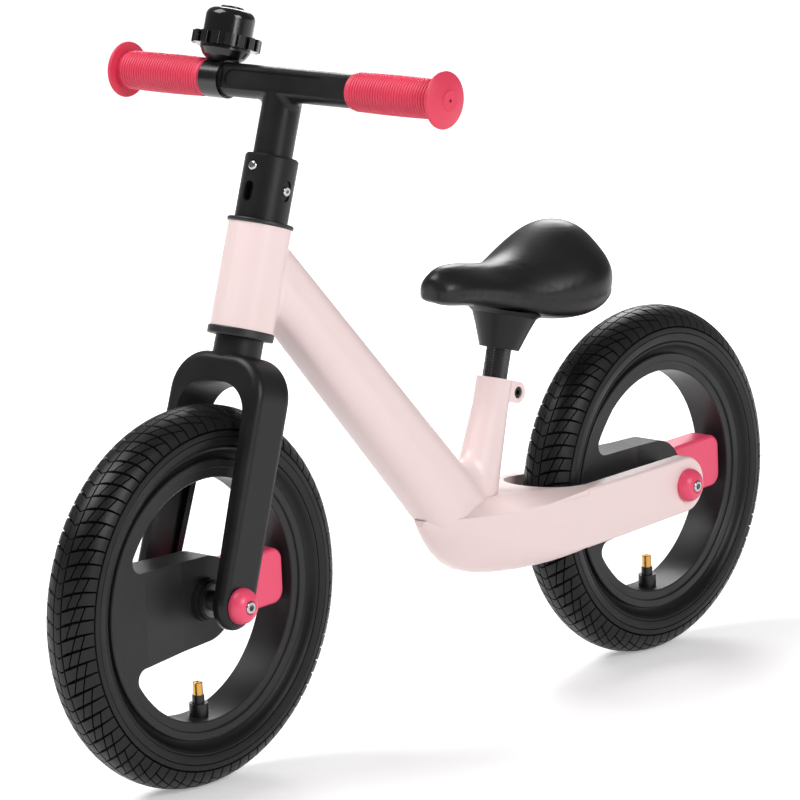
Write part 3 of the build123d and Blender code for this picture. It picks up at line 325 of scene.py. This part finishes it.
# Where the wall turns in towards the rim: radius, and offset across the tyre
TURN_IN = [(0.1166, 0.0203), (0.1150, 0.0178), (0.1130, 0.0160), (0.1106, 0.0154)]
BEAD_RADIUS = 0.1016
BEAD_HALF_WIDTH = 0.0154
LINING_ANGLE = math.radians(134.0)
LINING_ROWS = 6
PITCHES = 82
COLUMNS_PER_PITCH = 10
COLUMNS = PITCHES * COLUMNS_PER_PITCH


def section_point(angle, inset=0.0):
    """Radius and offset across the tyre at an angle measured from the crown."""
    depth = CROWN_HEIGHT if math.cos(angle) > 0 else SIDEWALL_DEPTH
    across = (SECTION_HALF_WIDTH - inset) * math.sin(angle)
    return SECTION_RADIUS + (depth - inset) * math.cos(angle), across


def tyre_section():
    """The closed section: the tread's rows with their numbers, both walls, the beads and the lining."""
    tread = [(row, *section_point(row * ROW_STEP)) for row in range(-TREAD_ROWS, TREAD_ROWS + 1)]
    wall = [section_point(math.radians(angle), -raised) for angle, raised in SIDEWALL] + TURN_IN
    wall = wall + [(BEAD_RADIUS, BEAD_HALF_WIDTH), (BEAD_RADIUS, BEAD_HALF_WIDTH - WALL)]
    left = [(None, radius, across) for radius, across in wall]
    right = [(None, radius, -across) for radius, across in reversed(wall)]
    angles = [LINING_ANGLE * (1 - 2 * step / LINING_ROWS) for step in range(LINING_ROWS + 1)]
    lining = [(None, *section_point(angle, WALL)) for angle in angles]
    return right + tread + left + lining


def spun_ring(section):
    """A closed section in the XY plane spun round the Y axis. Each vertex knows its place in it."""
    build = bmesh.new()
    place = build.verts.layers.int.new("place")
    ring = []
    for number, (row, radius, across) in enumerate(section):
        vertex = build.verts.new((radius, across, 0.0))
        vertex[place] = number
        ring.append(vertex)
    edges = [build.edges.new((first, second)) for first, second in zip(ring, ring[1:] + ring[:1])]
    bmesh.ops.spin(build, geom=ring + edges, cent=(0, 0, 0), axis=(0, 1, 0), angle=2 * math.pi,
                   steps=COLUMNS, use_merge=True)
    bmesh.ops.recalc_face_normals(build, faces=build.faces)
    return build, place


section = tyre_section()
tyre_build, place_layer = spun_ring(section)
print("tyre ring:", len(tyre_build.faces), "faces")

# %% [markdown]
# Now the tread. Two grooves run round the tyre beside a narrow rib. Sipes cross from the rib to both
# shoulders, and they bend so that each pair makes a V. Long diagonals link them: each crosses four pitches
# on its slow way from the shoulder to the rib, and a new one starts at every second pitch.
# Between two sipes the rows of the mesh lean with the diagonals, so that a diagonal is one row there. At
# each sipe the rows jump back by one pitch's lean, down in the sipe where nobody sees it.

# %% Press the tread
SIPE_SWEEP = 0.0092
SIPE_DEPTH = 0.0022
RIB_ROW = 4
RIB_SIPE_DEPTH = 0.0010
RING_DEPTH = 0.0016
DIAGONAL_DEPTH = 0.0018
DIAGONALS = [(11, 19), (15, 23)]
DIAGONAL_LEAN = 4.0
LEAN_ROWS = (5, 9, 25, 32)
NARROWING = 0.35


def lean_share(count):
    """How much of the diagonals' lean a row takes: all in the middle, none at the rib and the shoulder."""
    start, full, last, end = LEAN_ROWS
    return max(0.0, min(1.0, (count - start) / (full - start), (end - count) / (end - last)))


def tread_place(column, row):
    """A tread vertex's column and row once the mesh leans with the grooves, and how deep it lies."""
    count = abs(row)
    pitch, step = divmod(column, COLUMNS_PER_PITCH)
    sipe = step == 0 and count < TREAD_ROWS
    diagonals = DIAGONALS[pitch % 2]
    rings = (RIB_ROW, TREAD_ROWS)
    depth = 0.0
    if sipe:
        depth = SIPE_DEPTH if count > RIB_ROW else RIB_SIPE_DEPTH
    elif count in diagonals:
        depth = DIAGONAL_DEPTH
    if count in rings:
        depth = max(depth, RING_DEPTH)
    # The vertices beside a groove move towards it, so that it is narrower than two rows or columns
    pull = {1: -NARROWING, COLUMNS_PER_PITCH - 1: NARROWING}.get(step, 0.0)
    squeeze = 0.0
    if step != 0:
        for groove in diagonals + rings:
            squeeze += {-1: NARROWING, 1: -NARROWING}.get(count - groove, 0.0)
    lean = DIAGONAL_LEAN * (step / COLUMNS_PER_PITCH - 0.5) if step != 0 else 0.0
    side = 1 if row > 0 else -1
    return column + pull, side * (count + squeeze + lean * lean_share(count)), depth


groove_layer = tyre_build.verts.layers.float.new("groove")
step_angle = 2 * math.pi / COLUMNS
for vertex in tyre_build.verts:
    row, radius, across = section[vertex[place_layer]]
    if row is None:
        continue
    column = round(math.atan2(vertex.co.z, vertex.co.x) / step_angle)
    leaned_column, leaned_row, depth = tread_place(column, row)
    radius, across = section_point(leaned_row * ROW_STEP, depth)
    inward = 1 - abs(row) / TREAD_ROWS
    angle = leaned_column * step_angle - SIPE_SWEEP * inward ** 2 / radius
    vertex.co = (radius * math.cos(angle), across, radius * math.sin(angle))
    # The groove depth is kept on each vertex, and the tyre finish paints shade in the grooves with it.
    vertex[groove_layer] = min(1.0, depth / RING_DEPTH)
print("tread:", PITCHES, "pitches")


# %% The two tyres in their places
SHARP_ANGLE = math.radians(32)


def finished_piece(name, build, slot, body, replaced):
    """A piece from a bmesh, with its finish, its body and the solid that it stands for."""
    mesh = bpy.data.meshes.new(name)
    build.to_mesh(mesh)
    mesh.shade_smooth()
    mesh.set_sharp_from_angle(angle=SHARP_ANGLE)
    piece = bpy.data.objects.new(name, mesh)
    bpy.context.scene.collection.objects.link(piece)
    mesh.materials.append(finish[slot])
    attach(piece, body)
    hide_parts(replaced)
    return piece


for end, side in (("front", 1), ("rear", -1)):
    axle = Vector((side * HALF_WHEELBASE, 0.0, AXLE_HEIGHT))
    bmesh.ops.translate(tyre_build, verts=tyre_build.verts, vec=axle)
    finished_piece(f"{end}_treaded_tyre", tyre_build, "tyre_rubber", f"{end}_wheel", f"{end}_tyre")
    bmesh.ops.translate(tyre_build, verts=tyre_build.verts, vec=-axle)
tyre_build.free()
print("two tyres placed on their axles")

# %% [markdown]
# The seat post is knurled, so that the clamp grips it: two families of fine grooves cross on it at a slant
# and leave rows of small pyramids. They are a little over two millimetres apart, and the same spin makes
# them: a tube whose outside vertices are lowered by their distance from the nearest peak.

# %% The knurled seat post
SEAT_TOP = Vector((-0.0834, 0.0, 0.2675))
SEAT_LEAN = math.radians(14.5)
POST_RADIUS = 0.0105
POST_BORE = 0.0085
POST_LOW = -0.095
POST_HIGH = 0.0505
KNURL_LOW = -0.0560
KNURL_ROWS = 150
KNURL_STEP = 0.00055
KNURL_DEPTH = 0.0008
KNURL_COLUMNS = 120
KNURL_CELL = 4


def knurl_drop(column, row):
    """Nought at a pyramid's peak and the full depth in a groove."""
    rising = (column + row) % KNURL_CELL
    falling = (column - row) % KNURL_CELL
    half = KNURL_CELL / 2
    from_groove = min(half - abs(rising - half), half - abs(falling - half))
    return KNURL_DEPTH * (1 - from_groove / half)


def knurled_post():
    """A tube along Z with a knurl on its outside, leaned into its place."""
    build = bmesh.new()
    knurl_tops = [KNURL_LOW + KNURL_STEP * row for row in range(KNURL_ROWS + 1)]
    heights = [POST_LOW] + knurl_tops + [POST_HIGH]
    bore = [(POST_BORE, POST_HIGH), (POST_BORE, POST_LOW)]
    outline = [(POST_RADIUS, height) for height in heights] + bore
    ring = [build.verts.new((radius, 0.0, height)) for radius, height in outline]
    edges = [build.edges.new((first, second)) for first, second in zip(ring, ring[1:] + ring[:1])]
    bmesh.ops.spin(build, geom=ring + edges, cent=(0, 0, 0), axis=(0, 0, 1), angle=2 * math.pi,
                   steps=KNURL_COLUMNS, use_merge=True)
    for vertex in build.verts:
        radius = math.hypot(vertex.co.x, vertex.co.y)
        row = round((vertex.co.z - KNURL_LOW) / KNURL_STEP)
        if radius < POST_RADIUS - KNURL_DEPTH or not 0 <= row <= KNURL_ROWS:
            continue
        column = round(math.atan2(vertex.co.y, vertex.co.x) / (2 * math.pi) * KNURL_COLUMNS)
        scale = 1 - knurl_drop(column, row) / radius
        vertex.co = (vertex.co.x * scale, vertex.co.y * scale, vertex.co.z)
    bmesh.ops.recalc_face_normals(build, faces=build.faces)
    lean = Matrix.Translation(SEAT_TOP) @ Matrix.Rotation(-SEAT_LEAN, 4, "Y")
    bmesh.ops.transform(build, matrix=lean, verts=build.verts)
    return build


post_build = knurled_post()
finished_piece("knurled_seat_post", post_build, "post_steel", "seat", "seat_post")
post_build.free()
print("knurled post made")

# %% [markdown]
# The saddle is foam under a soft skin, so it is not a hard block: its top is full and its sides roll under.
# The solid's mesh is copied, given an even skin of voxels and drawn in a little, apart from its underside,
# which rests on the moulded base. Then it is blown up like a cushion by the cloth solver for a few steps.
# The underside is pinned, and no point may move further than a cap.

# %% Inflate the saddle
SADDLE_SHRINK = 0.0012
SADDLE_VOXEL = 0.003
SADDLE_PRESSURE = 3.0
SADDLE_STEPS = 20
SADDLE_CAP = 0.0016
UNDERSIDE = -0.3
PINNED_SHARE = 0.25
MERGE_DISTANCE = 1e-5
CLOTH_QUALITY = 6


def applied(piece):
    """Replace a piece's mesh with what its modifiers make of it."""
    graph = bpy.context.evaluated_depsgraph_get()
    mesh = bpy.data.meshes.new_from_object(piece.evaluated_get(graph))
    piece.modifiers.clear()
    piece.data = mesh


def even_skin(name, source):
    """A closed copy of a solid's mesh, remeshed with voxels and drawn in, apart from its underside."""
    build = bmesh.new()
    build.from_mesh(source)
    bmesh.ops.remove_doubles(build, verts=build.verts, dist=MERGE_DISTANCE)
    bmesh.ops.recalc_face_normals(build, faces=build.faces)
    mesh = bpy.data.meshes.new(name)
    build.to_mesh(mesh)
    build.free()
    piece = bpy.data.objects.new(name, mesh)
    bpy.context.scene.collection.objects.link(piece)
    skin = piece.modifiers.new("even_skin", "REMESH")
    skin.mode = "VOXEL"
    skin.voxel_size = SADDLE_VOXEL
    applied(piece)
    normals = [vertex.normal.copy() for vertex in piece.data.vertices]
    for vertex, normal in zip(piece.data.vertices, normals):
        if normal.z > UNDERSIDE:
            vertex.co -= normal * SADDLE_SHRINK
    return piece


def blow_up(piece, pinned):
    """Swell a closed piece by pressure, with some vertices pinned and every movement capped."""
    rest = [vertex.co.copy() for vertex in piece.data.vertices]
    held = piece.vertex_groups.new(name="held")
    held.add(pinned, 1.0, "REPLACE")
    cloth = piece.modifiers.new("foam", "CLOTH")
    cloth.settings.quality = CLOTH_QUALITY
    cloth.settings.use_pressure = True
    cloth.settings.uniform_pressure_force = SADDLE_PRESSURE
    cloth.settings.vertex_group_mass = "held"
    cloth.settings.effector_weights.gravity = 0.0
    for step in range(1, SADDLE_STEPS + 1):
        bpy.context.scene.frame_set(step)
    applied(piece)
    bpy.context.scene.frame_set(1)
    for vertex, start in zip(piece.data.vertices, rest):
        move = vertex.co - start
        if move.length > SADDLE_CAP:
            vertex.co = start + move.normalized() * SADDLE_CAP


saddle_low, saddle_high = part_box("saddle")
saddle = even_skin("foam_saddle", nodes["saddle"].data)
pin_height = saddle_low[2] + PINNED_SHARE * (saddle_high[2] - saddle_low[2])
below = [vertex for vertex in saddle.data.vertices if vertex.co.z < pin_height]
pinned = [vertex.index for vertex in below if vertex.normal.z < UNDERSIDE]
blow_up(saddle, pinned)
saddle.data.shade_smooth()
rounder = saddle.modifiers.new("rounder", "SUBSURF")
rounder.levels = 1
rounder.render_levels = 1
saddle.data.materials.clear()
saddle.data.materials.append(finish["saddle_foam"])
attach(saddle, "seat")
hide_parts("saddle")
print("saddle:", len(saddle.data.vertices), "vertices,", len(pinned), "pinned")
